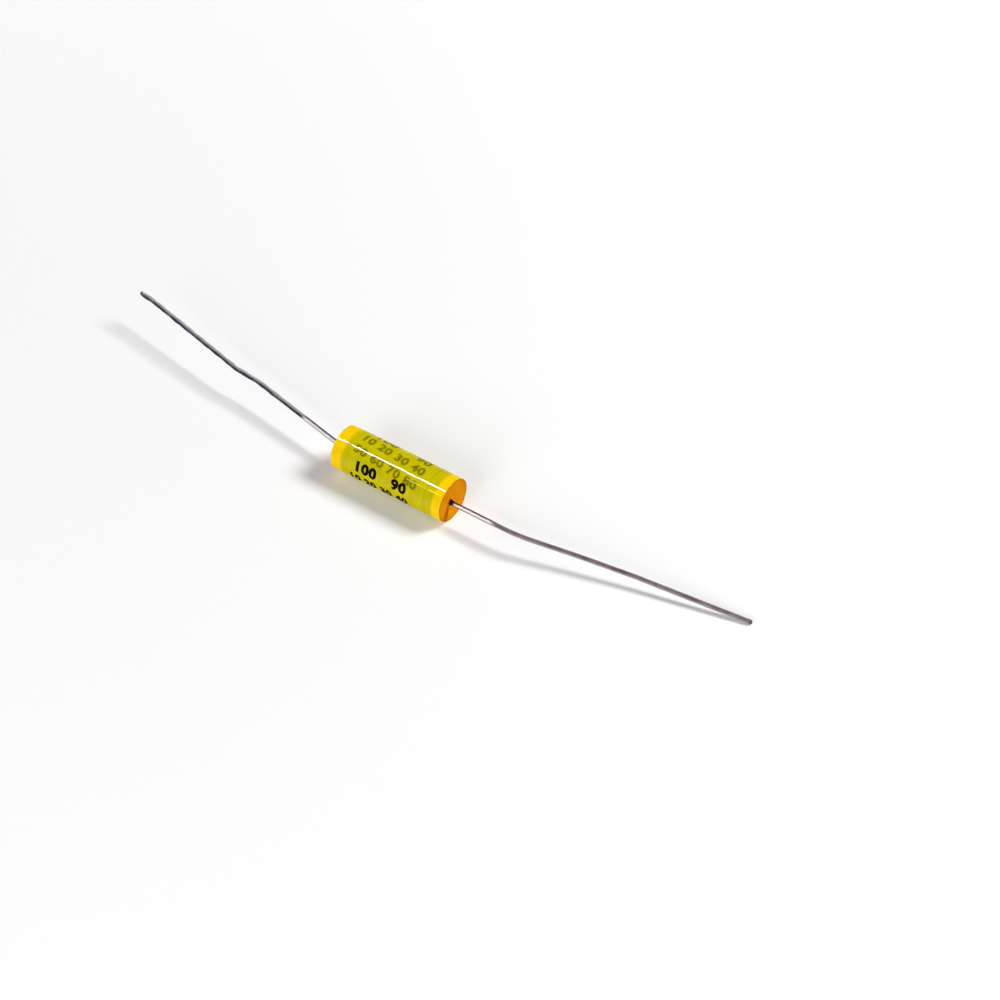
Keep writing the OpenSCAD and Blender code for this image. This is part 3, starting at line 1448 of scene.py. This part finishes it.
UNDER_SWELL = 0.024
PRINT_ROWS = (
    PrintRow("print_upper_left", "100", Ink.OUTER, -4.25, 3.0, 1.45, 5.2),
    PrintRow("print_upper_right", "90", Ink.OUTER, 0.9, 2.2, 1.45, 5.2),
    PrintRow("print_lower", "10 20 30 40", Ink.OUTER, -5.1, 8.4, 1.30, -31.6),
    PrintRow("under_upper", "10 20 30 40", Ink.UNDER, -5.1, 9.4, 1.20, 86.2, -2.0, swell=UNDER_SWELL),
    PrintRow("under_lower", "50 60 70 80", Ink.UNDER, -5.35, 9.6, 1.12, 50.5, -2.3, swell=UNDER_SWELL),
    PrintRow("under_top_left", "100", Ink.UNDER, -4.1, 3.0, 1.35, 118.0, -1.9, swell=UNDER_SWELL),
    PrintRow("under_top_right", "90", Ink.UNDER, 1.9, 2.2, 1.35, 106.0, -1.9, swell=UNDER_SWELL),
)

LEAD_LENGTH = 38.3
RIGHT_OFFSET = 0.45
RIGHT_EXIT = 9.4


def main() -> None:
    """Build the pieces in order and report each."""
    logging.basicConfig(level=logging.INFO, format="%(name)s: %(message)s")
    body = Body.from_frame()
    effects = SharedEffects()

    wrap = TapeWrap(body, PRINT_ROWS)
    wrap.build()
    wrap.dress(TapeFinish(effects).make(), InkFinish(effects).make())

    resin = ResinFinish(effects).make()
    for plug in (EndResin(body, Side.LEFT, "resin_left"),
                 EndResin(body, Side.RIGHT, "resin_right", offset=RIGHT_OFFSET,
                          crease=((-1.0, -0.16), (-1.35, -2.05)))):
        plug.build()
        plug.dress(resin)

    left = Lead(body, Side.LEFT, "lead_left", exit_run=1.4, runs=(14.0, 3.9, 16.7, 2.3),
                headings=(10.0, 3.2, 11.2, 5.6), pitch=3.0, bend=4.0, lumps=0.085, dull=(6.5, 7.7),
                far_tarnish=((20.0, 57.0, 1.1), (110.0, 40.0, 0.1), (236.0, 64.0, 0.85)))
    left_tin = WireFinish(effects, "left_wire", near_tarnish=(0.11, 0.075, 0.10),
                          far_tarnish=(0.022, 0.017, 0.052), lower_edge=(0.13, 0.12, 0.10))
    fall = math.asin((body.axis_height - left.wire) / (LEAD_LENGTH - RIGHT_EXIT))
    right = Lead(body, Side.RIGHT, "lead_right", exit_run=RIGHT_EXIT, runs=(7.8, 6.8, 14.3),
                 headings=(14.0, 12.5, 10.3), pitch=-math.degrees(fall), bend=16.0, offset=RIGHT_OFFSET,
                 tarnish_fade=0.08)
    right_tin = WireFinish(effects, "right_wire", near_tarnish=(0.12, 0.035, 0.038),
                           far_tarnish=(0.066, 0.024, 0.058), lower_edge=(0.22, 0.11, 0.05))
    for lead, tin in ((left, left_tin), (right, right_tin)):
        lead.build()
        lead.dress(tin.make())

    film = InnerFinish(effects, "wound_film", (0.55, 0.52, 0.12), (0.34, 0.32, 0.08), metallic=0.0,
                       roughness=(0.2, 0.4), grain=Pattern(160.0), stretch=(20.0, 1.0, 1.0))
    spray = InnerFinish(effects, "sprayed_metal", (0.52, 0.52, 0.54), (0.26, 0.26, 0.28), metallic=0.6,
                        roughness=(0.6, 0.9), grain=Pattern(5200.0))
    solder = InnerFinish(effects, "soft_solder", (0.66, 0.66, 0.67), (0.42, 0.42, 0.44), metallic=1.0,
                         roughness=(0.25, 0.45), grain=Pattern(1400.0))
    for inner, finish in ((InnerPieces(("winding",)), film),
                          (InnerPieces(("end_spray_left", "end_spray_right")), spray),
                          (InnerPieces(("solder_left", "solder_right")), solder)):
        inner.dress(finish.make())

    Studio(body).build()


if __name__ == "__main__":
    main()
